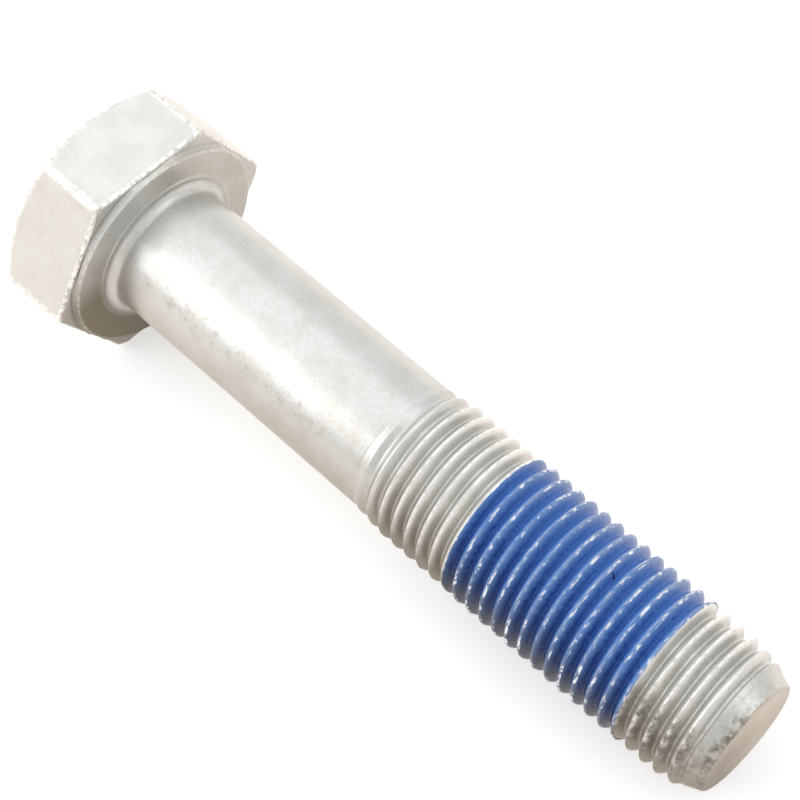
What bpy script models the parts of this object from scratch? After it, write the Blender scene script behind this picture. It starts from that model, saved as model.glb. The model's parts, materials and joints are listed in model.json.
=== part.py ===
"""Hexagon-head crankshaft pulley bolt with a fine rolled thread and a blue thread-locking coat.

The bolt is one forged and rolled steel piece. Its own axis is +X, from the head to the tip, and
X = 0 is the bearing face under the head. The thread is a true right-hand helix that grows out of
the shank and sinks into the coned end. The coat is a thin skin on the middle of the thread. The
bolt lies on a flat of its head and on its thread, as a loose bolt comes to rest.
"""

import math

import bmesh
import bpy
from mathutils import Matrix, Vector

MM = 0.001

# Thread: ISO metric fine, 60 degree flanks
THREAD_DIAMETER = 14.0 * MM
THREAD_PITCH = 1.5 * MM
FLANK_ANGLE = math.radians(30.0)
CREST_FLAT_IN_PITCHES = 1 / 8
THREAD_DEPTH_IN_PITCHES = 0.6134
PITCH_LINE_DEPTH_IN_PITCHES = 0.3248

# Lengths along the axis, from the bearing face under the head
UNDER_HEAD_LENGTH = 70.3 * MM
PLAIN_SHANK_LENGTH = 30.7 * MM
RUNOUT_LENGTH = 3.6 * MM

# Coned end, from the tip backwards
END_CONE_LENGTH = 2.3 * MM
END_CONE_ANGLE = math.radians(23.0)
END_EDGE_RADIUS = 0.35 * MM
LAST_GROOVE_TO_TIP = 1.4 * MM
CREST_FADE_LENGTH = 3.2 * MM
CREST_FADE_END_TO_TIP = 1.2 * MM

# Head
ACROSS_FLATS = 22.0 * MM
HEAD_HEIGHT = 9.05 * MM
HEAD_TOP_INSET = 0.35 * MM
HEAD_CHAMFER_ANGLE = math.radians(35.0)
HEAD_EDGE_ROUND = 0.27 * MM
WASHER_FACE_HEIGHT = 0.58 * MM
WASHER_FACE_INSET = 0.3 * MM
FILLET_RADIUS = 0.9 * MM

# Thread-locking coat
COAT_END_TO_TIP = 9.55 * MM
COAT_LENGTH = 19.5 * MM
COAT_THICKNESS = 0.06 * MM
COAT_GAP = 0.03 * MM

# Fineness of the mesh. The thread's sweep starts a little past the lowest line, so that the bolt
# lies on single corners of the crests and not on a row of them straight under its axis.
STEPS_PER_TURN = 32
START_PAST_LOWEST = math.radians(3.0)
FILLET_STEPS = 4
EDGE_ROUND_STEPS = 3
CHAMFER_SIDES = 72
SHARP_EDGE = math.radians(32.0)
WELD = 0.002 * MM

# Sizes that follow from those above
CREST_RADIUS = THREAD_DIAMETER / 2
PITCH_RADIUS = CREST_RADIUS - PITCH_LINE_DEPTH_IN_PITCHES * THREAD_PITCH
ROOT_RADIUS = CREST_RADIUS - THREAD_DEPTH_IN_PITCHES * THREAD_PITCH
SHANK_RADIUS = PITCH_RADIUS
WASHER_FACE_RADIUS = ACROSS_FLATS / 2 - WASHER_FACE_INSET
HEAD_TOP_RADIUS = ACROSS_FLATS / 2 - HEAD_TOP_INSET
COAT_START = UNDER_HEAD_LENGTH - COAT_END_TO_TIP - COAT_LENGTH
ADVANCE_PER_STEP = THREAD_PITCH / STEPS_PER_TURN
CONE_START = UNDER_HEAD_LENGTH - END_CONE_LENGTH
CONE_SLOPE = math.tan(END_CONE_ANGLE)
START_ANGLE = -math.pi / 2 - START_PAST_LOWEST

AXIS = Vector((1.0, 0.0, 0.0))


def clear_scene():
    for old in list(bpy.data.objects):
        bpy.data.objects.remove(old, do_unlink=True)


def make_material(name, colour, metallic, roughness):
    material = bpy.data.materials.new(name)
    material.use_nodes = True
    shader = material.node_tree.nodes["Principled BSDF"]
    shader.inputs["Base Color"].default_value = (*colour, 1.0)
    shader.inputs["Metallic"].default_value = metallic
    shader.inputs["Roughness"].default_value = roughness
    return material


def make_object(name, bm, material):
    bmesh.ops.recalc_face_normals(bm, faces=bm.faces)
    mesh = bpy.data.meshes.new(name)
    bm.to_mesh(mesh)
    bm.free()
    mesh.materials.append(material)
    mesh.shade_smooth()
    mesh.set_sharp_from_angle(angle=SHARP_EDGE)
    made = bpy.data.objects.new(name, mesh)
    bpy.context.collection.objects.link(made)
    return made


def hide_helper(helper):
    helper.hide_render = True
    helper.display_type = "WIRE"


def ramp(value, low, high):
    """Rise evenly from 0 at low to 1 at high."""
    share = (value - low) / (high - low)
    return min(max(share, 0.0), 1.0)


def growth(x):
    """Share of the full thread depth that the rolling has reached at a place along the axis."""
    return ramp(x, PLAIN_SHANK_LENGTH, PLAIN_SHANK_LENGTH + RUNOUT_LENGTH)


def crest_fill(x):
    """Share of the full crest height that the metal fills, which falls off near the coned end."""
    fade_end = UNDER_HEAD_LENGTH - CREST_FADE_END_TO_TIP
    return min(growth(x), ramp(x, fade_end, fade_end - CREST_FADE_LENGTH))


def blank_radius(x):
    """Radius of the bar before rolling: the shank, then the coned end."""
    return SHANK_RADIUS - CONE_SLOPE * max(0.0, x - CONE_START)


def thread_profile(first_corner):
    """One pitch of the thread form as (share of a pitch, radius), from one of its corners on.

    The corners are the two edges of the groove and then the two edges of the crest.
    """
    half_crest = CREST_FLAT_IN_PITCHES / 2
    half_root = 0.5 - half_crest - THREAD_DEPTH_IN_PITCHES * math.tan(FLANK_ANGLE)
    corners = [
        (-half_root, ROOT_RADIUS),
        (half_root, ROOT_RADIUS),
        (0.5 - half_crest, CREST_RADIUS),
        (0.5 + half_crest, CREST_RADIUS),
    ]
    following = [(share + 1.0, radius) for share, radius in corners]
    return (corners + following)[first_corner : first_corner + 5]


def rolled_radius(x, form_radius):
    """Radius that the rolling leaves: grooves to the full depth of metal, crests as far as they fill."""
    height = form_radius - PITCH_RADIUS
    if height > 0.0:
        return blank_radius(x) + crest_fill(x) * height
    return min(blank_radius(x), PITCH_RADIUS + growth(x) * height)


def set_radius(vert, radius):
    flat = Vector((0.0, vert.co.y, vert.co.z))
    flat.length = radius
    vert.co = Vector((vert.co.x, flat.y, flat.z))


def first_groove():
    """Groove centre at the start angle, one turn or more before the thread starts to grow."""
    last_groove = UNDER_HEAD_LENGTH - LAST_GROOVE_TO_TIP
    turns = math.ceil((last_groove - PLAIN_SHANK_LENGTH) / THREAD_PITCH + 1.3)
    return last_groove - turns * THREAD_PITCH


def helical_skin(first_corner, first_step, steps, lift):
    """Sweep the thread form along the helix, then sink it into the bar where it fades.

    The sweep starts at a corner of the form and a step counted from the first groove. The skin
    stands off the thread by lift.
    """
    bm = bmesh.new()
    start_x = first_groove() + first_step * ADVANCE_PER_STEP
    start_angle = START_ANGLE + first_step * math.tau / STEPS_PER_TURN
    line = []
    for share, radius in thread_profile(first_corner):
        place = Vector((start_x + share * THREAD_PITCH, radius, 0.0))
        line.append(bm.verts.new(Matrix.Rotation(start_angle, 3, AXIS) @ place))
    for first, second in zip(line, line[1:]):
        bm.edges.new((first, second))
    bmesh.ops.spin(
        bm,
        geom=bm.verts[:] + bm.edges[:],
        cent=(0.0, 0.0, 0.0),
        axis=AXIS,
        dvec=AXIS * ADVANCE_PER_STEP,
        angle=steps * math.tau / STEPS_PER_TURN,
        steps=steps,
        space=Matrix.Identity(4),
    )
    bmesh.ops.remove_doubles(bm, verts=bm.verts, dist=WELD)
    for vert in bm.verts:
        form_radius = math.hypot(vert.co.y, vert.co.z)
        set_radius(vert, rolled_radius(vert.co.x, form_radius) + lift)
    return bm


def square_off(bm, x, keep_side):
    """Cut the open skin square to the axis at x, keep one side of it and return the new ring."""
    for vert in bm.verts:
        if abs(vert.co.x - x) < ADVANCE_PER_STEP / 2:
            vert.co.x = x
    bmesh.ops.bisect_plane(
        bm,
        geom=bm.verts[:] + bm.edges[:] + bm.faces[:],
        plane_co=AXIS * x,
        plane_no=AXIS * keep_side,
        clear_inner=True,
        dist=WELD,
    )
    for vert in bm.verts:
        if abs(vert.co.x - x) < WELD:
            set_radius(vert, blank_radius(x))
    return ring_at(bm, x)


def ring_at(bm, x):
    return [
        edge
        for edge in bm.edges
        if edge.is_boundary and all(abs(vert.co.x - x) < WELD for vert in edge.verts)
    ]


def pull_ring(bm, ring, x, radius):
    """Extrude an open ring of edges to a new place on the axis and a new radius."""
    made = bmesh.ops.extrude_edge_only(bm, edges=ring)["geom"]
    for vert in [item for item in made if isinstance(item, bmesh.types.BMVert)]:
        vert.co.x = x
        set_radius(vert, radius)
    return [item for item in made if isinstance(item, bmesh.types.BMEdge) and item.is_boundary]


def quarter_round(steps):
    """Angles of the points after the first along a quarter circle."""
    return [math.pi / 2 * (index + 1) / steps for index in range(steps)]


def make_rod():
    """Shank, thread and coned end, with the fillet and the washer face that the head joins."""
    thread_end = UNDER_HEAD_LENGTH - END_EDGE_RADIUS
    turns = math.ceil((thread_end - first_groove()) / THREAD_PITCH) + 1
    bm = helical_skin(0, 0, turns * STEPS_PER_TURN, 0.0)

    ring = square_off(bm, thread_end, -1)
    for angle in quarter_round(EDGE_ROUND_STEPS):
        x = thread_end + END_EDGE_RADIUS * math.sin(angle)
        ring = pull_ring(bm, ring, x, blank_radius(thread_end) - END_EDGE_RADIUS * (1 - math.cos(angle)))
    bmesh.ops.edgeloop_fill(bm, edges=ring)

    ring = square_off(bm, PLAIN_SHANK_LENGTH, 1)
    ring = pull_ring(bm, ring, FILLET_RADIUS, SHANK_RADIUS)
    for angle in quarter_round(FILLET_STEPS):
        x = FILLET_RADIUS * (1 - math.sin(angle))
        ring = pull_ring(bm, ring, x, SHANK_RADIUS + FILLET_RADIUS * (1 - math.cos(angle)))
    ring = pull_ring(bm, ring, 0.0, WASHER_FACE_RADIUS)
    ring = pull_ring(bm, ring, -HEAD_HEIGHT / 2, WASHER_FACE_RADIUS)
    bmesh.ops.edgeloop_fill(bm, edges=ring)
    return bm


def make_hexagon():
    """Hexagon bar, longer than the head, with its long edges and its underside edges rounded."""
    bm = bmesh.new()
    onto_axis = Matrix.Rotation(math.pi / 2, 4, "Y")
    bmesh.ops.create_cone(
        bm,
        cap_ends=True,
        segments=6,
        radius1=ACROSS_FLATS / math.sqrt(3),
        radius2=ACROSS_FLATS / math.sqrt(3),
        depth=HEAD_HEIGHT,
        matrix=Matrix.Translation(AXIS * (-WASHER_FACE_HEIGHT - HEAD_HEIGHT / 2)) @ onto_axis,
    )
    edges = [edge for edge in bm.edges if any(vert.co.x > -HEAD_HEIGHT for vert in edge.verts)]
    bmesh.ops.bevel(
        bm,
        geom=edges,
        offset=HEAD_EDGE_ROUND,
        offset_type="OFFSET",
        affect="EDGES",
        segments=2,
        profile=0.5,
        material=-1,
    )
    return bm


def make_chamfer_form():
    """Turned form that leaves the head its round top face and its chamfered corners."""
    bm = bmesh.new()
    turn = Matrix.Rotation(math.pi / 2, 4, "Y") @ Matrix.Rotation(math.pi / CHAMFER_SIDES, 4, "Z")
    bmesh.ops.create_cone(
        bm,
        cap_ends=True,
        segments=CHAMFER_SIDES,
        radius1=HEAD_TOP_RADIUS,
        radius2=HEAD_TOP_RADIUS + HEAD_HEIGHT / math.tan(HEAD_CHAMFER_ANGLE),
        depth=HEAD_HEIGHT,
        matrix=Matrix.Translation(AXIS * (-HEAD_HEIGHT / 2)) @ turn,
    )
    return bm


def make_coat():
    """Skin of set resin from crest to crest over the middle turns, a little proud of the steel."""
    crest_edge = 3
    edge_past_groove = thread_profile(crest_edge)[0][0] * THREAD_PITCH
    first_step = round((COAT_START - edge_past_groove - first_groove()) / ADVANCE_PER_STEP)
    steps = round(COAT_LENGTH / ADVANCE_PER_STEP)
    bm = helical_skin(crest_edge, first_step, steps, COAT_GAP)
    bmesh.ops.recalc_face_normals(bm, faces=bm.faces)
    outward = sum(face.normal.dot(Vector((0.0, *face.calc_center_median()[1:]))) for face in bm.faces)
    if outward < 0:
        bmesh.ops.reverse_faces(bm, faces=bm.faces)
    bmesh.ops.solidify(bm, geom=bm.faces[:], thickness=-COAT_THICKNESS)
    return bm


def add_boolean(target, operation, other):
    boolean = target.modifiers.new(operation.lower(), "BOOLEAN")
    boolean.operation = operation
    boolean.object = other
    boolean.solver = "EXACT"


def finished_points(made):
    """Corners of an object's finished mesh, in its own frame."""
    graph = bpy.context.evaluated_depsgraph_get()
    finished = made.evaluated_get(graph)
    return [vert.co.copy() for vert in finished.data.vertices]


def lay_down(carrier, points):
    """Tilt the bolt until head and thread both touch the ground, and centre it over the origin."""
    heel_height = min(point.z for point in points)
    heel_x = max(point.x for point in points if point.z < heel_height + WELD)
    heel = Vector((heel_x, 0.0, heel_height))
    tilt = min(
        math.atan2(point.z - heel.z, point.x - heel.x) for point in points if point.x > PLAIN_SHANK_LENGTH
    )
    turn = Matrix.Rotation(tilt, 3, "Y")
    laid = [turn @ point for point in points]
    low = Vector([min(point[axis] for point in laid) for axis in range(3)])
    high = Vector([max(point[axis] for point in laid) for axis in range(3)])
    carrier.rotation_euler = (0.0, tilt, 0.0)
    carrier.location = (-(low.x + high.x) / 2, -(low.y + high.y) / 2, -low.z)


def main():
    clear_scene()
    steel = make_material("zinc_plated_steel", (0.72, 0.71, 0.67), 1.0, 0.36)
    resin = make_material("blue_thread_locking_resin", (0.02, 0.11, 0.62), 0.0, 0.3)

    chamfer_form = make_object("chamfer_form", make_chamfer_form(), steel)
    hexagon = make_object("hexagon_form", make_hexagon(), steel)
    bolt = make_object("bolt", make_rod(), steel)
    coat = make_object("thread_locking_coat", make_coat(), resin)
    hide_helper(chamfer_form)
    hide_helper(hexagon)
    add_boolean(hexagon, "INTERSECT", chamfer_form)
    add_boolean(bolt, "UNION", hexagon)

    carrier = bpy.data.objects.new("resting_pose", None)
    bpy.context.collection.objects.link(carrier)
    lay_down(carrier, finished_points(bolt))
    for made in (chamfer_form, hexagon, bolt, coat):
        made.parent = carrier


main()
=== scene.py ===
"""Dressed model of a hexagon-head crankshaft pulley bolt with a blue thread-locking coat.

The bolt is modelled on its own axis in millimetres, with X = 0 on the bearing face under the head
and +X towards the tip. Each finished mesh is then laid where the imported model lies.
"""

import json
import math
from functools import partial
from types import SimpleNamespace

import bmesh
import bpy
from mathutils import Matrix, Vector, noise


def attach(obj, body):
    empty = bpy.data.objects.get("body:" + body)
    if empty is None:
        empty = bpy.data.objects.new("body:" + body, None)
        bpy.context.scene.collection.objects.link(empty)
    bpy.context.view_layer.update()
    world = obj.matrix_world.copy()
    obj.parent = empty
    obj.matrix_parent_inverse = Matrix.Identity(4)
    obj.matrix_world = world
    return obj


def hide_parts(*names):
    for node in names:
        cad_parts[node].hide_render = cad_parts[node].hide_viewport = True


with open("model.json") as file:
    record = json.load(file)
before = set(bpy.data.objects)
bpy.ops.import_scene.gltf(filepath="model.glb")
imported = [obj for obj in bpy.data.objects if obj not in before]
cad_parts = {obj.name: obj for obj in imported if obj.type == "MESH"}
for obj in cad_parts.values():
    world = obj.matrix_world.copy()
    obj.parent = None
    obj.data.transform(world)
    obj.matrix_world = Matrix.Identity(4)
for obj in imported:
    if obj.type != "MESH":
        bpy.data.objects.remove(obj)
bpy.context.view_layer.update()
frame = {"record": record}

# Thread
CREST_RADIUS = 7.0
THREAD_PITCH = 1.5
PITCH_RADIUS = CREST_RADIUS - 0.3248 * THREAD_PITCH
ROOT_RADIUS = CREST_RADIUS - 0.6134 * THREAD_PITCH
FLANK_SLOPE = 1.0 / math.tan(math.radians(30.0))
CREST_ROUNDING = 0.22
ROOT_ROUNDING = 0.14
CREST_EDGE_SHARE = 0.5 + 1 / 16
DENT_DEPTH = 0.09
DENTS_PER_MM = 1.7

# Shank and coned end
SHANK_RADIUS = PITCH_RADIUS
UNDER_HEAD_LENGTH = 70.3
PLAIN_SHANK_LENGTH = 30.7
RUNOUT_LENGTH = 3.6
END_CONE_LENGTH = 2.3
CONE_START = UNDER_HEAD_LENGTH - END_CONE_LENGTH
END_CONE_SLOPE = math.tan(math.radians(23.0))
END_EDGE_RADIUS = 0.35
LAST_GROOVE_TO_TIP = 1.4
CREST_FADE_LENGTH = 3.2
CREST_FADE_END_TO_TIP = 1.2

# Head
HALF_ACROSS_FLATS = 11.0
HEAD_HEIGHT = 9.05
HEAD_TOP_RADIUS = 10.65
HEAD_CHAMFER_SLOPE = math.tan(math.radians(35.0))
TOP_EDGE_INSET = 0.1
TOP_EDGE_DROP = 0.12
UNDERSIDE_CHAMFER_RADIUS = 12.0
UNDERSIDE_CHAMFER_SLOPE = math.tan(math.radians(30.0))
CORNER_RADIUS = 0.45
EDGE_RADIUS = 0.28
RING_RADIUS = 10.7
RING_HEIGHT = 0.58
RING_EDGE_RADIUS = 0.22
RING_DRAFT = 0.3
RING_TO_EDGE = 0.02
BEAD_HEIGHT = 0.1
BEAD_WIDTH = 0.7
FILLET_RADIUS = 0.9

# Wear along the head's edges, from 0 for none to 1 for rubbed bright all along
RING_WEAR = 0.3
EDGE_WEAR = 0.8
CHAMFER_WEAR = 0.9
CORNER_WEAR = 0.65
CORNER_WEAR_ANGLE = 0.032

# Coat
COAT_TURNS = 13
COAT_END_TO_TIP = 9.55
COAT_STAND_OFF = 0.05
COAT_THICKNESS = 0.05
COAT_CREST_ROUNDING = 0.32
COAT_GROOVE_ROUNDING = 0.5
COAT_POOL_DEPTH = 0.08
COAT_WAVE_HEIGHT = 0.015
COAT_WAVES_PER_MM = 0.8

# Fineness of the meshes
STEPS_PER_TURN = 96
POINTS_PER_PITCH = 16
SHANK_RINGS = (24.0, 18.0, 12.0, 6.0)
JOINT_STEP = 0.3
HEAD_JOINT = FILLET_RADIUS + 2 * JOINT_STEP
FLAT_POINTS = 72
CORNER_POINTS = 7
FILLET_ROWS = 12
BEAD_ROWS = 8
RING_FACE_RADII = (8.4, 9.0, 9.6, 10.1)
RING_EDGE_ROWS = 4
UNDER_EDGE_ROWS = 6
SIDE_ROWS = 30
CHAMFER_ROWS = 5
TOP_FACE_RADII = (10.2, 8.0, 5.0, 2.0)
END_EDGE_ROWS = 8
END_FACE_RADII = (3.5, 1.5)
SEAM_WELD = 0.01
WELD = 0.0005

START_ANGLE = -math.pi / 2
SIXTH_TURN = math.pi / 3
AXIS = Vector((1.0, 0.0, 0.0))
MM = 0.001


def bolt_place():
    """Matrix that lays the bolt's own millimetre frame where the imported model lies."""
    mounts = {mount["name"]: mount for mount in frame["record"]["mounts"]}
    along = Vector(mounts["bearing_face"]["axis"]).normalized()
    up = Vector(mounts["wrench_flat_upper"]["axis"]).normalized()
    across = up.cross(along)
    upper = Vector(mounts["wrench_flat_upper"]["pos_m"])
    lower = Vector(mounts["wrench_flat_lower"]["pos_m"])
    middle = (upper + lower) / 2
    bearing = Vector(mounts["bearing_face"]["pos_m"])
    origin = middle + along * (bearing - middle).dot(along)
    turn = Matrix((along, across, up)).transposed().to_4x4()
    return Matrix.Translation(origin) @ turn @ Matrix.Scale(MM, 4)


PLACE = bolt_place()


def ramp(value, low, high):
    """Rise evenly from 0 at low to 1 at high."""
    return min(max((value - low) / (high - low), 0.0), 1.0)


def soft_min(first, second, width):
    """The lower of two heights, rounded where they cross."""
    gap = max(width - abs(first - second), 0.0) / width
    return min(first, second) - gap * gap * width / 4


def form_height(share, crest_rounding, root_rounding):
    """Height of the thread form over the pitch line, at a share of a pitch from a groove."""
    along = abs((share + 0.5) % 1.0 - 0.5) * THREAD_PITCH
    flank = (along - THREAD_PITCH / 4) * FLANK_SLOPE
    capped = soft_min(flank, CREST_RADIUS - PITCH_RADIUS, crest_rounding)
    return -soft_min(-capped, PITCH_RADIUS - ROOT_RADIUS, root_rounding)


def growth(x):
    """How far the thread has grown out of the plain shank."""
    return ramp(x, PLAIN_SHANK_LENGTH, PLAIN_SHANK_LENGTH + RUNOUT_LENGTH)


def crest_fill(x):
    """How full the crests are, between the run-out and the end where the dies left them low."""
    fade_end = UNDER_HEAD_LENGTH - CREST_FADE_END_TO_TIP
    return min(growth(x), ramp(x, fade_end, fade_end - CREST_FADE_LENGTH))


def blank_radius(x):
    """Radius of the bar before its thread was rolled."""
    return SHANK_RADIUS - END_CONE_SLOPE * max(0.0, x - CONE_START)


def rolled_radius(x, height):
    if height > 0.0:
        return blank_radius(x) + crest_fill(x) * height
    return min(blank_radius(x), PITCH_RADIUS + growth(x) * height)


def first_groove():
    """Place of the first groove at the start angle, far enough up the shank to hold no thread."""
    last_groove = UNDER_HEAD_LENGTH - LAST_GROOVE_TO_TIP
    turns = math.ceil((last_groove - PLAIN_SHANK_LENGTH) / THREAD_PITCH + 1.3)
    return last_groove - turns * THREAD_PITCH


def round_axis(x, radius, angle):
    """Point at a radius from the axis, at an angle from +Y towards +Z."""
    return Vector((x, radius * math.cos(angle), radius * math.sin(angle)))


def angle_of(vert):
    return math.atan2(vert.co.z, vert.co.y)


def helical_skin(first_share, turns, shape):
    """Sweep one pitch of points round one turn of the helix, and repeat the turn along the axis.

    Shape gives the radius at (x, share of a pitch, angle).
    """
    bm = bmesh.new()
    groove = first_groove()
    line = []
    for index in range(POINTS_PER_PITCH + 1):
        x = groove + (first_share + index / POINTS_PER_PITCH) * THREAD_PITCH
        line.append(bm.verts.new(round_axis(x, PITCH_RADIUS, START_ANGLE)))
    for first, second in zip(line, line[1:]):
        bm.edges.new((first, second))
    bmesh.ops.spin(
        bm,
        geom=bm.verts[:] + bm.edges[:],
        cent=(0.0, 0.0, 0.0),
        axis=AXIS,
        dvec=AXIS * (THREAD_PITCH / STEPS_PER_TURN),
        angle=math.tau,
        steps=STEPS_PER_TURN,
        space=Matrix.Identity(4),
    )
    first_turn = bm.verts[:] + bm.edges[:] + bm.faces[:]
    for index in range(1, turns):
        copied = bmesh.ops.duplicate(bm, geom=first_turn)["geom"]
        moved = [item for item in copied if isinstance(item, bmesh.types.BMVert)]
        bmesh.ops.translate(bm, verts=moved, vec=AXIS * (index * THREAD_PITCH))
    bmesh.ops.remove_doubles(bm, verts=bm.verts, dist=SEAM_WELD)
    for vert in bm.verts:
        angle = angle_of(vert)
        turned = (angle - START_ANGLE) / math.tau
        share = (vert.co.x - groove) / THREAD_PITCH - turned
        vert.co = round_axis(vert.co.x, shape(vert.co.x, share, angle), angle)
    return bm


def steel_radius(x, share, angle):
    """Thread surface with the small dents that handling leaves along the crests."""
    height = form_height(share, CREST_ROUNDING, ROOT_ROUNDING)
    dent = max(0.0, noise.noise(round_axis(x, CREST_RADIUS, angle) * DENTS_PER_MM) - 0.15)
    return rolled_radius(x, height) - DENT_DEPTH * dent * ramp(height, 0.2, 0.45)


def square_off(bm, x, keep_side):
    """Cut the open skin square to the axis at x, keep one side and return the new ring."""
    for vert in bm.verts:
        if abs(vert.co.x - x) < THREAD_PITCH / STEPS_PER_TURN / 2:
            vert.co.x = x
    bmesh.ops.bisect_plane(
        bm,
        geom=bm.verts[:] + bm.edges[:] + bm.faces[:],
        plane_co=AXIS * x,
        plane_no=AXIS * keep_side,
        clear_inner=True,
        dist=WELD,
    )
    ring = [e for e in bm.edges if e.is_boundary and all(abs(v.co.x - x) < WELD for v in e.verts)]
    for vert in {vert for edge in ring for vert in edge.verts}:
        vert.co = round_axis(x, blank_radius(x), angle_of(vert))
    return ring


def arc(rows):
    """Angles of the rows that take a surface round a quarter circle."""
    return [math.pi / 2 * index / rows for index in range(1, rows + 1)]


def level(x, radius):
    """Shape of a row that is the same all round."""
    return lambda angle: (x, radius)


def pull_ring(bm, ring, shape):
    """Extrude an open ring of edges; shape gives the new (x, radius) for a vertex's angle."""
    made = bmesh.ops.extrude_edge_only(bm, edges=ring)["geom"]
    for vert in [item for item in made if isinstance(item, bmesh.types.BMVert)]:
        angle = angle_of(vert)
        vert.co = round_axis(*shape(angle), angle)
    return [item for item in made if isinstance(item, bmesh.types.BMEdge) and item.is_boundary]


def flat_offset(angle):
    """Angle from the middle of the nearest flat; flats lie at 30, 90, 150 degrees and so on."""
    return (angle + SIXTH_TURN) % SIXTH_TURN - SIXTH_TURN / 2


def hexagon_radius(angle, inset=0.0):
    """Distance from the axis to a hexagon with rounded corners."""
    flat = HALF_ACROSS_FLATS - inset
    offset = abs(flat_offset(angle))
    inner = HALF_ACROSS_FLATS - CORNER_RADIUS
    if flat * math.tan(offset) < inner * math.tan(SIXTH_TURN / 2):
        return flat / math.cos(offset)
    corner = inner / math.cos(SIXTH_TURN / 2)
    from_corner = SIXTH_TURN / 2 - offset
    reach = CORNER_RADIUS - inset
    rest = max(reach * reach - (corner * math.sin(from_corner)) ** 2, 0.0)
    return corner * math.cos(from_corner) + math.sqrt(rest)


def head_angles():
    """Angles round the head: evenly spaced on the flats and close together on the corners."""
    inner = HALF_ACROSS_FLATS - CORNER_RADIUS
    half_flat = inner * math.tan(SIXTH_TURN / 2)
    angles = []
    for flat in range(6):
        middle = (flat + 0.5) * SIXTH_TURN
        for index in range(FLAT_POINTS + 1):
            across = half_flat * (2 * index / FLAT_POINTS - 1)
            angles.append(middle + math.atan2(across, HALF_ACROSS_FLATS))
        for index in range(1, CORNER_POINTS):
            turn = SIXTH_TURN * index / CORNER_POINTS
            on_arc = CORNER_RADIUS * Vector((math.cos(turn), math.sin(turn)))
            point = Vector((inner, half_flat)) + on_arc
            angles.append(middle + math.atan2(point.y, point.x))
    return angles


def underside(radius):
    """Height of the head's underside, which is chamfered at the corners."""
    cut = max(0.0, radius - UNDERSIDE_CHAMFER_RADIUS) * UNDERSIDE_CHAMFER_SLOPE
    return -RING_HEIGHT - cut


def head_top(radius):
    """Height of the head's top face and of the chamfer round it."""
    return -HEAD_HEIGHT + max(0.0, radius - HEAD_TOP_RADIUS) * HEAD_CHAMFER_SLOPE


def nick(x, radius, angle):
    """Depth of the small dents along a worn edge."""
    place = round_axis(x, radius, angle)
    coarse = noise.noise(place * 0.9 + Vector((3.1, 0.0, 0.0)))
    fine = noise.noise(place * 2.6)
    return 0.06 * max(0.0, coarse + 0.1) + 0.16 * max(0.0, fine - 0.08)


def ring_foot(angle):
    """Radius at which the raised ring's side meets the underside, short of the flats."""
    return min(RING_RADIUS + RING_DRAFT, hexagon_radius(angle, EDGE_RADIUS) - RING_TO_EDGE)


def ring_side_row(angle, share):
    x = -RING_EDGE_RADIUS - share * (RING_HEIGHT - RING_EDGE_RADIUS)
    return x, RING_RADIUS + share * (ring_foot(angle) - RING_RADIUS)


def underside_row(angle, share):
    foot = ring_foot(angle)
    radius = foot + share * (hexagon_radius(angle, EDGE_RADIUS) - foot)
    return underside(radius), radius


def underside_edge_row(angle, turn):
    radius = hexagon_radius(angle, EDGE_RADIUS * (1 - math.sin(turn)))
    x = underside(hexagon_radius(angle, EDGE_RADIUS)) - EDGE_RADIUS * (1 - math.cos(turn))
    dent = nick(x, radius, angle) * math.sin(turn)
    return x - dent, radius - dent


def side_row(angle, share):
    """Row up the six flats, with nicks along the corners between them."""
    radius = hexagon_radius(angle)
    low = underside(hexagon_radius(angle, EDGE_RADIUS)) - EDGE_RADIUS
    high = head_top(radius) + TOP_EDGE_DROP
    x = low + share * (high - low)
    corner = ramp(abs(flat_offset(angle)), SIXTH_TURN / 2 - 0.03, SIXTH_TURN / 2 - 0.005)
    return x, radius - corner * nick(x, radius, angle)


def chamfer_row(angle, share):
    outer = hexagon_radius(angle, TOP_EDGE_INSET)
    radius = outer + share * (HEAD_TOP_RADIUS - outer)
    return head_top(radius), radius


def head_rows():
    """Rows of the head's surface from the shank to its top face, as (shape, wear) pairs.

    Shape gives (x, radius) for an angle, and wear says how much of a worn edge the row is.
    """
    for turn in (0.0, *arc(FILLET_ROWS)):
        x = FILLET_RADIUS * (1 - math.sin(turn))
        yield level(x, SHANK_RADIUS + FILLET_RADIUS * (1 - math.cos(turn))), 0.0
    for index in range(1, BEAD_ROWS + 1):
        x = BEAD_HEIGHT * (1 - math.cos(math.tau * index / BEAD_ROWS)) / 2
        yield level(x, SHANK_RADIUS + FILLET_RADIUS + BEAD_WIDTH * index / BEAD_ROWS), 0.0
    for radius in (*RING_FACE_RADII, RING_RADIUS - RING_EDGE_RADIUS):
        yield level(0.0, radius), 0.0
    for turn in arc(RING_EDGE_ROWS):
        x = -RING_EDGE_RADIUS * (1 - math.cos(turn))
        radius = RING_RADIUS - RING_EDGE_RADIUS * (1 - math.sin(turn))
        yield level(x, radius), RING_WEAR * math.sin(2 * turn)
    for share in (0.35, 0.7, 1.0):
        yield partial(ring_side_row, share=share), 0.0
    for share in (0.25, 0.5, 0.75, 1.0):
        yield partial(underside_row, share=share), 0.0
    for turn in arc(UNDER_EDGE_ROWS):
        wear = math.sin(turn) if turn < math.pi / 2 else EDGE_WEAR
        yield partial(underside_edge_row, turn=turn), wear
    for index in range(1, SIDE_ROWS + 1):
        wear = EDGE_WEAR if index == SIDE_ROWS else 0.0
        yield partial(side_row, share=index / SIDE_ROWS), wear
    for index in range(CHAMFER_ROWS + 1):
        wear = CHAMFER_WEAR if index == 0 else 0.0
        yield partial(chamfer_row, share=index / CHAMFER_ROWS), wear
    for radius in TOP_FACE_RADII:
        yield level(-HEAD_HEIGHT, radius), 0.0


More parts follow.
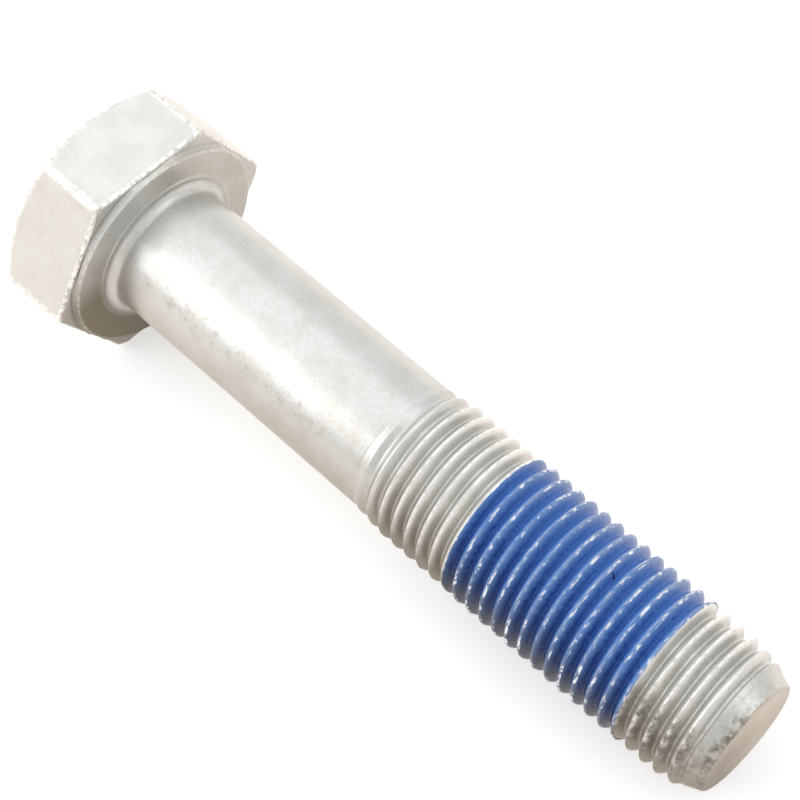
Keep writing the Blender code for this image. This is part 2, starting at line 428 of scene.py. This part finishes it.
def on_worn_corner(vert):
    """Whether a point of the head lies on a corner between two flats."""
    angle = angle_of(vert)
    radius = math.hypot(vert.co.y, vert.co.z)
    on_side = radius > HALF_ACROSS_FLATS and abs(radius - hexagon_radius(angle)) < 0.3
    return on_side and abs(flat_offset(angle)) > SIXTH_TURN / 2 - CORNER_WEAR_ANGLE


def add_head(bm, shank_ring):
    """Model the head round its own denser ring, and bridge that ring to the shank's."""
    angles = head_angles()
    made = bmesh.ops.create_circle(bm, segments=len(angles), radius=SHANK_RADIUS)["verts"]
    for vert, angle in zip(made, angles):
        vert.co = round_axis(FILLET_RADIUS + JOINT_STEP, SHANK_RADIUS, angle)
    joint = list({edge for vert in made for edge in vert.link_edges})
    worn_edge = bm.verts.layers.float.new("worn_edge")
    ring = joint
    for shape, wear in head_rows():
        ring = pull_ring(bm, ring, shape)
        for vert in {vert for edge in ring for vert in edge.verts}:
            vert[worn_edge] = max(wear, CORNER_WEAR) if on_worn_corner(vert) else wear
    bmesh.ops.edgeloop_fill(bm, edges=ring)
    bmesh.ops.bridge_loops(bm, edges=shank_ring + joint)


def lay_and_link(name, bm, material, sharp_angle):
    """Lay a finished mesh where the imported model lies, and put it in the scene."""
    bmesh.ops.recalc_face_normals(bm, faces=bm.faces)
    bmesh.ops.transform(bm, matrix=PLACE, verts=bm.verts)
    mesh = bpy.data.meshes.new(name)
    bm.to_mesh(mesh)
    bm.free()
    mesh.materials.append(material)
    mesh.shade_smooth()
    mesh.set_sharp_from_angle(angle=sharp_angle)
    made = bpy.data.objects.new(name, mesh)
    bpy.context.collection.objects.link(made)
    return made


def model_bolt(material):
    """The steel: thread first, then its rounded end, then the plain shank and the head."""
    thread_end = UNDER_HEAD_LENGTH - END_EDGE_RADIUS
    turns = math.ceil((thread_end - first_groove()) / THREAD_PITCH) + 1
    bm = helical_skin(0.0, turns, steel_radius)
    end_radius = blank_radius(thread_end)
    ring = square_off(bm, thread_end, -1)
    for turn in arc(END_EDGE_ROWS):
        x = thread_end + END_EDGE_RADIUS * math.sin(turn)
        ring = pull_ring(bm, ring, level(x, end_radius - END_EDGE_RADIUS * (1 - math.cos(turn))))
    for radius in (end_radius - END_EDGE_RADIUS - 0.3, *END_FACE_RADII):
        ring = pull_ring(bm, ring, level(UNDER_HEAD_LENGTH, radius))
    bmesh.ops.edgeloop_fill(bm, edges=ring)
    ring = square_off(bm, PLAIN_SHANK_LENGTH, 1)
    for x in (*SHANK_RINGS, HEAD_JOINT):
        ring = pull_ring(bm, ring, level(x, SHANK_RADIUS))
    add_head(bm, ring)
    return lay_and_link("bolt_body", bm, material, math.radians(50.0))


def coat_radius(x, share, angle):
    """Surface of the set resin: it follows the thread and lies thicker in the grooves."""
    height = form_height(share, COAT_CREST_ROUNDING, COAT_GROOVE_ROUNDING)
    pool = COAT_POOL_DEPTH * ramp(-height, -0.3, 0.4)
    place = round_axis(x, CREST_RADIUS, angle)
    wave = COAT_WAVE_HEIGHT * noise.noise(place * COAT_WAVES_PER_MM)
    return PITCH_RADIUS + height + COAT_STAND_OFF + pool + wave


def model_coat(material):
    """The resin: a skin over whole turns of the thread, given its thickness inwards."""
    coat_start = UNDER_HEAD_LENGTH - COAT_END_TO_TIP - COAT_TURNS * THREAD_PITCH
    turns_before = round((coat_start - first_groove()) / THREAD_PITCH - CREST_EDGE_SHARE)
    bm = helical_skin(turns_before + CREST_EDGE_SHARE, COAT_TURNS, coat_radius)
    bmesh.ops.recalc_face_normals(bm, faces=bm.faces)
    outward = sum(face.normal.dot(Vector((0.0, *face.calc_center_median()[1:]))) for face in bm.faces)
    if outward < 0:
        bmesh.ops.reverse_faces(bm, faces=bm.faces)
    bmesh.ops.solidify(bm, geom=bm.faces[:], thickness=-COAT_THICKNESS)
    return lay_and_link("thread_locking_film", bm, material, math.radians(60.0))


def linear(hex_colour):
    """Turn an sRGB hex colour into linear values."""
    parts = [int(hex_colour[index : index + 2], 16) / 255 for index in (1, 3, 5)]
    return (*[p / 12.92 if p <= 0.04045 else ((p + 0.055) / 1.055) ** 2.4 for p in parts], 1.0)


def add_node(tree, kind, inputs, **settings):
    """Add a node, set its settings, and set or link its inputs. A node stands for its first output."""
    node = tree.nodes.new(kind)
    for name, value in settings.items():
        setattr(node, name, value)
    for name, value in inputs.items():
        if isinstance(value, bpy.types.Node):
            value = next(output for output in value.outputs if output.enabled)
        if isinstance(value, bpy.types.NodeSocket):
            tree.links.new(value, node.inputs[name])
        else:
            node.inputs[name].default_value = value
    return node


def start_surface(name, fineness):
    """New material, its shader, and measures of a place in the bolt's own millimetre frame.

    Where is the place as a vector, radius its distance from the axis, and fineness the share of
    fine detail in the material's uneven patches.
    """
    material = bpy.data.materials.new(name)
    material.use_nodes = True
    tree = material.node_tree
    node = partial(add_node, tree)
    location, rotation, scale = PLACE.decompose()
    where = node(
        "ShaderNodeMapping",
        {
            "Vector": node("ShaderNodeTexCoord", {}).outputs["Object"],
            "Location": location,
            "Rotation": rotation.to_euler(),
            "Scale": scale,
        },
        vector_type="TEXTURE",
    )
    parts = node("ShaderNodeSeparateXYZ", {"Vector": where})
    across = node("ShaderNodeVectorMath", {0: where, 1: (0.0, 1.0, 1.0)}, operation="MULTIPLY")
    return SimpleNamespace(
        material=material,
        tree=tree,
        shader=tree.nodes["Principled BSDF"],
        fineness=fineness,
        where=where,
        x=parts.outputs["X"],
        y=parts.outputs["Y"],
        z=parts.outputs["Z"],
        radius=node("ShaderNodeVectorMath", {0: across}, operation="LENGTH").outputs["Value"],
    )


def patches(surface, size, low, high, detail, where=None):
    """Uneven patches of a size in millimetres: 0 where their noise is below low, 1 above high."""
    grain = add_node(
        surface.tree,
        "ShaderNodeTexNoise",
        {
            "Vector": where or surface.where,
            "Scale": 1 / size,
            "Detail": detail,
            "Roughness": surface.fineness,
        },
    )
    return add_node(
        surface.tree,
        "ShaderNodeMapRange",
        {"Value": grain, "From Min": low, "From Max": high},
        interpolation_type="SMOOTHSTEP",
    )


def region(surface, *limits):
    """How much of a place lies within all the limits, from 0 to 1.

    A limit is another share, or (measure, outside, inside) for a soft border between two values.
    """
    share = 1.0
    for limit in limits:
        if isinstance(limit, tuple):
            measure, outside, inside = limit
            border = {"Value": measure, "From Min": outside, "From Max": inside}
            limit = add_node(surface.tree, "ShaderNodeMapRange", border)
        share = add_node(surface.tree, "ShaderNodeMath", {0: share, 1: limit}, operation="MULTIPLY")
    return share


def lay_over(surface, colour, *layers):
    """Lay thin layers on a colour, each as (region, strength, colour of the layer)."""
    for place, strength, tint in layers:
        share = region(surface, place, strength)
        colour = add_node(surface.tree, "ShaderNodeMix", {0: share, 6: colour, 7: tint}, data_type="RGBA")
    return colour


def zinc_plated_steel():
    """Forged and rolled steel, electroplated with bright zinc.

    A thin dull film lies over the metal in soft patches, so it looks satin and almost white. The
    edges are rubbed bright. Painted highlights lie on the ridges and crests of the thread, and
    painted shade darkens the grooves, the low left side, the bottom and the head's underside.
    """
    surface = start_surface("zinc_plated_steel_satin", 0.6)
    where, x, y, z, radius = surface.where, surface.x, surface.y, surface.z, surface.radius
    node = partial(add_node, surface.tree)
    within = partial(region, surface)
    uneven = partial(patches, surface)

    # Soft patches of the film, 2 to 4 mm across, with a grain of 0.3 mm
    film = uneven(2.63, 0.36, 0.66, 4.0)
    grain = uneven(0.3125, 0.35, 0.7, 2.0)

    # Parts of the bolt, and the sides of it that take painted shade
    on_flats = within((x, -RING_HEIGHT - 0.22, -RING_HEIGHT - 0.72))
    end_face = within((x, UNDER_HEAD_LENGTH - 0.2, UNDER_HEAD_LENGTH - 0.02))
    threaded = within((x, PLAIN_SHANK_LENGTH + 0.8, PLAIN_SHANK_LENGTH + 4.3))
    near_tip = within((x, UNDER_HEAD_LENGTH - 11.3, UNDER_HEAD_LENGTH - 7.3))
    left_side = within((y, 1.5, -2.5))
    right_side = within((y, -2.5, 1.5))
    low_left = within((z, 6.6, 0.0), left_side)
    not_low_left = node("ShaderNodeMath", {0: 1.0, 1: low_left}, operation="SUBTRACT")

    # Painted shade under the head, stronger on the raised ring than outside it
    ring_shade_weight = node(
        "ShaderNodeMapRange",
        {"Value": radius, "From Min": 10.6, "From Max": 11.2, "To Min": 1.4, "To Max": 0.85},
    )
    under_head = within((x, -0.95, -0.65), (radius, 7.0, 8.0), ring_shade_weight)
    # Painted shadow: a dark line along the outer edge of the underside, on the left
    ring_corner = within(under_head, (x, -0.3, -0.55), (radius, 11.35, 11.0), (y, 2.0, -6.0))

    # Painted shade: a grey veil on the low left side, and a thinner one along the bottom of the bolt
    shaded_parts = node("ShaderNodeMath", {0: threaded, 1: under_head}, operation="MAXIMUM")
    along_shank = within((x, 4.0, 25.0), 0.45)
    shaded_parts = node("ShaderNodeMath", {0: shaded_parts, 1: along_shank}, operation="MAXIMUM")
    veil = within(low_left, shaded_parts)
    bottom = within((z, 3.0, -1.5), (x, 0.0, 2.0))

    # Scuffs of 0.7 mm in a line along one side of the shank, where the bolt has rubbed in its box
    to_scuffs = node("ShaderNodeVectorMath", {0: where, 1: (0.0, -0.79, 0.61)}, operation="DOT_PRODUCT")
    scuff_line = within((to_scuffs.outputs["Value"], 6.25, 6.48), (x, 31.0, 27.0), (x, 1.0, 4.0))
    scuffs = within(scuff_line, uneven(0.6667, 0.52, 0.66, 5.0))

    # The thread: painted shade in the grooves, a painted highlight on the ridges, and painted glints on
    # the crests in spots of 0.6 mm; the highlight and glints stay off the low left side
    before_cone = within((x, CONE_START, CONE_START - 1.0))
    groove = within((radius, ROOT_RADIUS + 0.32, ROOT_RADIUS + 0.04), threaded, before_cone)
    ridge = within((radius, CREST_RADIUS - 0.5, CREST_RADIUS - 0.2), threaded, not_low_left)
    crest = within((radius, CREST_RADIUS - 0.1, CREST_RADIUS - 0.04), threaded, not_low_left)
    crest_glints = within(crest, uneven(0.625, 0.44, 0.51, 4.0))

    # Dark grime in spots of 0.8 mm along one line of the last turns and on the rim of the end
    to_grime = node("ShaderNodeVectorMath", {0: where, 1: (0.0, -0.93, 0.37)}, operation="DOT_PRODUCT")
    grime_line = within((to_grime.outputs["Value"], 5.6, 6.7), near_tip)
    rim = within((x, UNDER_HEAD_LENGTH - 1.1, UNDER_HEAD_LENGTH - 0.5), (radius, 4.75, 4.95), left_side)
    grimy = node("ShaderNodeMath", {0: grime_line, 1: rim}, operation="MAXIMUM")
    grime = within(grimy, uneven(0.8333, 0.4, 0.64, 6.0))
    speckle = within(near_tip, uneven(0.4167, 0.52, 0.72, 4.0))

    # Edges of the head rubbed bright in spots of 0.5 mm
    worn_edge = node("ShaderNodeAttribute", {}, attribute_name="worn_edge").outputs["Fac"]
    rubbed = within(worn_edge, uneven(0.5, 0.36, 0.58, 3.0))

    colour = lay_over(
        surface,
        linear("#cfd0ce"),
        (film, 1.0, linear("#cac9c5")),
        (grain, 0.3, linear("#b8b4ac")),
        (on_flats, 0.22, linear("#e6e0d6")),
        (scuffs, 0.45, linear("#a59c96")),
        (end_face, 0.6, linear("#ad977d")),
        # Painted shade under the head on the right, along the bottom and on the low left side
        (within(under_head, right_side), 0.22, linear("#998c74")),
        (bottom, 0.42, linear("#948570")),
        (veil, 0.7, linear("#7b7262")),
        # Painted shade in the grooves, a painted highlight on the ridges, painted glints on the crests
        (groove, 0.12, linear("#7d786e")),
        (ridge, 1.0, linear("#e6e4e0")),
        (crest_glints, 1.0, linear("#ffffff")),
        # Painted shadow along the outer edge of the head's underside, on the left
        (ring_corner, 0.5, linear("#6f6757")),
        (speckle, 0.3, linear("#8b7f70")),
        (grime, 0.85, linear("#655c4e")),
        (rubbed, 1.0, linear("#fbf9f4")),
    )
    surface.tree.links.new(colour.outputs[2], surface.shader.inputs["Base Color"])

    # Metal under a thin film, so between metal and paint; grime isn't metal
    metallic = node("ShaderNodeMapRange", {"Value": film, "To Min": 0.68, "To Max": 0.6})
    metallic = node("ShaderNodeMath", {0: metallic, 1: grime}, operation="SUBTRACT", use_clamp=True)
    surface.tree.links.new(metallic.outputs[0], surface.shader.inputs["Metallic"])
    rough = node("ShaderNodeMapRange", {"Value": film, "To Min": 0.3, "To Max": 0.34})
    rough = node("ShaderNodeMath", {0: veil, 1: 0.12, 2: rough}, operation="MULTIPLY_ADD")
    surface.tree.links.new(rough.outputs[0], surface.shader.inputs["Roughness"])

    # The plating's orange peel of 0.3 mm, drawn coarser than real so that it shows
    peel = uneven(0.2778, 0.2, 0.8, 4.0)
    bump = node("ShaderNodeBump", {"Height": peel, "Strength": 0.3, "Distance": 0.03 * MM})
    surface.tree.links.new(bump.outputs[0], surface.shader.inputs["Normal"])
    return surface.material


def blue_locking_resin():
    """Thread-locking resin, brushed on and set: glossy royal blue, rubbed through along the crests."""
    surface = start_surface("thread_locking_resin_blue", 0.65)
    y, z, radius = surface.y, surface.z, surface.radius
    node = partial(add_node, surface.tree)
    within = partial(region, surface)
    uneven = partial(patches, surface)

    # Thick and deep blue in the grooves, thin and chalky on the ridges, most of all on the right. Painted
    # shade darkens the grooves on the left side, and grooves and ridges on the low left.
    left_side = within((y, 3.2, -4.0))
    right_side = within((y, 0.0, 7.0))
    low_left = within((z, 5.6, -1.0), left_side)
    thick = lay_over(
        surface,
        linear("#4a7cc8"),
        (left_side, 1.0, linear("#234a96")),
        (low_left, 1.0, linear("#121f42")),
    )
    thin = lay_over(
        surface,
        linear("#6893d2"),
        (right_side, 1.0, linear("#90a6cc")),
        (low_left, 0.95, linear("#1a2742")),
    )

    # The border between them is mottled in patches of 0.4 mm
    mottle = uneven(0.4167, 0.3, 0.7, 5.0)
    ridge = within((radius, CREST_RADIUS - 0.58, CREST_RADIUS - 0.04))
    ridge = node("ShaderNodeMath", {0: mottle, 1: 0.46, 2: ridge}, operation="MULTIPLY_ADD")
    ridge = node("ShaderNodeMath", {0: ridge, 1: 0.22}, operation="SUBTRACT", use_clamp=True)
    specks = uneven(1.667, 0.69, 0.73, 3.0)

    # Along the crests a thin scraped line, and dashes where it is rubbed to bright metal. Both
    # patterns are narrow along the bolt and drawn out round the thread.
    drawn_out = node("ShaderNodeVectorMath", {0: surface.where, 1: (2.0, 0.6, 0.6)}, operation="MULTIPLY")
    scrapes = uneven(0.9091, 0.36, 0.66, 4.0, drawn_out)
    # On the low left the scraped line runs the whole crest and is painted darker, as shade
    scrapes = node("ShaderNodeMath", {0: scrapes, 1: low_left}, operation="MAXIMUM")
    scraped = within((radius, CREST_RADIUS - 0.03, CREST_RADIUS + 0.01), scrapes)
    scraped_colour = lay_over(surface, linear("#a3b8dc"), (low_left, 1.0, linear("#86818a")))
    dashes = within(uneven(0.5, 0.52, 0.57, 3.0, drawn_out), uneven(2.857, 0.36, 0.46, 2.0))
    bright = within((radius, CREST_RADIUS - 0.06, CREST_RADIUS - 0.02), dashes)

    colour = lay_over(
        surface,
        thick,
        (ridge, 1.0, thin),
        (specks, 1.0, linear("#2a2a55")),
        (scraped, 0.75, scraped_colour),
        (bright, 1.0, linear("#dfe4ee")),
    )
    surface.tree.links.new(colour.outputs[2], surface.shader.inputs["Base Color"])
    surface.tree.links.new(bright.outputs[0], surface.shader.inputs["Metallic"])
    surface.shader.inputs["Specular IOR Level"].default_value = 0.25
    surface.shader.inputs["Roughness"].default_value = 0.3

    # Brush marks and fillers in the resin, 0.4 mm across
    lumps = uneven(0.3571, 0.2, 0.8, 5.0)
    bump = node("ShaderNodeBump", {"Height": lumps, "Strength": 0.6, "Distance": 0.05 * MM})
    surface.tree.links.new(bump.outputs[0], surface.shader.inputs["Normal"])
    return surface.material


def background_ray(tree):
    """1 for a ray from the camera, a mirror or glass: these see the white card and sky as they are."""
    rays = add_node(tree, "ShaderNodeLightPath", {})
    seen = rays.outputs["Is Camera Ray"]
    for kind in ("Is Glossy Ray", "Is Transmission Ray"):
        seen = add_node(tree, "ShaderNodeMath", {0: seen, 1: rays.outputs[kind]}, operation="MAXIMUM")
    return rays, seen


def white_card():
    """Matt white card, lit to white, that keeps the bolt's soft shadow."""
    material = bpy.data.materials.new("white_card_matt")
    material.use_nodes = True
    tree = material.node_tree
    shader = tree.nodes["Principled BSDF"]
    shader.inputs["Roughness"].default_value = 0.9
    shader.inputs["Specular IOR Level"].default_value = 0.0
    shader.inputs["Emission Color"].default_value = linear("#ffffff")
    rays, seen = background_ray(tree)
    to_camera = rays.outputs["Is Camera Ray"]
    tints = {0: to_camera, 6: linear("#f8eee5"), 7: linear("#e4e4e4")}
    card = add_node(tree, "ShaderNodeMix", tints, data_type="RGBA")
    tree.links.new(card.outputs[2], shader.inputs["Base Color"])
    lift = add_node(tree, "ShaderNodeMath", {0: seen, 1: 0.5}, operation="MULTIPLY")
    tree.links.new(lift.outputs[0], shader.inputs["Emission Strength"])
    return material


def pale_floor(material):
    bm = bmesh.new()
    bmesh.ops.create_grid(bm, x_segments=1, y_segments=1, size=3.0)
    mesh = bpy.data.meshes.new("floor")
    bm.to_mesh(mesh)
    bm.free()
    mesh.materials.append(material)
    floor = bpy.data.objects.new("floor", mesh)
    bpy.context.collection.objects.link(floor)


def soft_box(name, azimuth, elevation, distance, size, power, colour):
    """Square soft light that faces the bolt from a compass direction and a height, in degrees."""
    a = math.radians(azimuth)
    e = math.radians(elevation)
    away = Vector((math.cos(a) * math.cos(e), math.sin(a) * math.cos(e), math.sin(e)))
    lamp = bpy.data.lights.new(name, "AREA")
    lamp.shape = "SQUARE"
    lamp.size = size
    lamp.energy = power
    lamp.color = colour
    made = bpy.data.objects.new(name, lamp)
    made.location = away * distance
    made.rotation_euler = away.to_track_quat("Z", "Y").to_euler()
    bpy.context.collection.objects.link(made)


def light_the_scene():
    """White sky at half strength, and four soft boxes round the bolt."""
    world = bpy.data.worlds.new("studio")
    bpy.context.scene.world = world
    world.use_nodes = True
    background = world.node_tree.nodes["Background"]
    background.inputs["Color"].default_value = linear("#ffffff")
    _, seen = background_ray(world.node_tree)
    levels = {"Value": seen, "To Min": 0.53, "To Max": 1.0}
    strength = add_node(world.node_tree, "ShaderNodeMapRange", levels)
    world.node_tree.links.new(strength.outputs[0], background.inputs["Strength"])
    soft_box("key_box", -130.0, 32.0, 0.8, 0.6, 2.4, (1.0, 0.975, 0.965))
    soft_box("top_box", 165.0, 68.0, 0.9, 1.05, 2.35, (0.94, 0.99, 1.0))
    soft_box("side_box", 115.0, 20.0, 0.9, 0.8, 0.35, (0.97, 0.98, 1.0))
    soft_box("end_box", 35.0, 50.0, 0.9, 0.6, 0.95, (0.99, 0.99, 1.0))


def place_camera():
    """The photograph's viewing angle, solved from the outline and the thread.

    Its place and directions are in the bolt's own frame.
    """
    data = bpy.data.cameras.new("camera")
    data.sensor_width = 36.0
    data.lens = 102.75
    data.clip_start = 0.01
    data.clip_end = 20.0
    right = Vector((0.7136, 0.70055, 0.00418))
    down = Vector((0.59924, -0.60728, -0.52165))
    ahead = Vector((-0.3629, 0.37475, -0.85315))
    turn = Matrix((right, -down, -ahead)).transposed().to_4x4()
    location, rotation, _ = (PLACE @ Matrix.Translation((101.241, -73.06, 173.912)) @ turn).decompose()
    camera = bpy.data.objects.new("camera", data)
    camera.location = location
    camera.rotation_euler = rotation.to_euler()
    bpy.context.collection.objects.link(camera)
    bpy.context.scene.camera = camera


def main():
    bpy.context.scene.view_settings.view_transform = "Standard"
    bolt = model_bolt(zinc_plated_steel())
    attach(bolt, "root")
    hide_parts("bolt")
    film = model_coat(blue_locking_resin())
    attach(film, "root")
    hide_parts("thread_locking_coat")
    pale_floor(white_card())
    light_the_scene()
    place_camera()


main()
